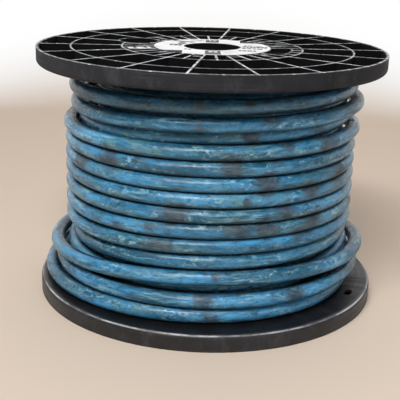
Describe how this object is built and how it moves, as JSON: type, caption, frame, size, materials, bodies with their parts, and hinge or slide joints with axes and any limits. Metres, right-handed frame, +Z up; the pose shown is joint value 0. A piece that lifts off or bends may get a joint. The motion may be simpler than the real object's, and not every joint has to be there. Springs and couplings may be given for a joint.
{
  "type": "plastic cable reel wound with round cable",
  "caption": "Black ribbed plastic reel with an arbor hole, wound with thick blue cable; the lowest turns lie slack.",
  "frame": {"origin": "on the reel's axis, at the plane that the lower flange's rim stands on", "axes": "+Z up along the reel's axis, from the lower flange to the upper one; +X to the right and -Y towards the viewer as the picture shows the reel"},
  "size_m": [0.4064, 0.4064, 0.2921],
  "materials": {
    "black_plastic": "satin, scuffed",
    "barrel_plastic": "satin",
    "zinc_steel": "zinc plated",
    "paper": "white coated paper",
    "cable_jacket": "satin blue PVC, scuffed",
    "core_plastic": "smooth core insulation",
    "copper": "bare copper"
  },
  "bodies": {
    "root": {"lower_flange": "black_plastic", "upper_flange": "black_plastic", "barrel": "barrel_plastic", "tie_bolts": "zinc_steel", "bolt_washers": "zinc_steel", "nut_washers": "zinc_steel", "tie_nuts": "zinc_steel", "centre_label": "paper", "label_strip": "paper", "cable_core": "cable_jacket", "cable_winding": "cable_jacket", "core_insulation": "core_plastic", "core_conductors": "copper"}
  },
  "joints": []
}
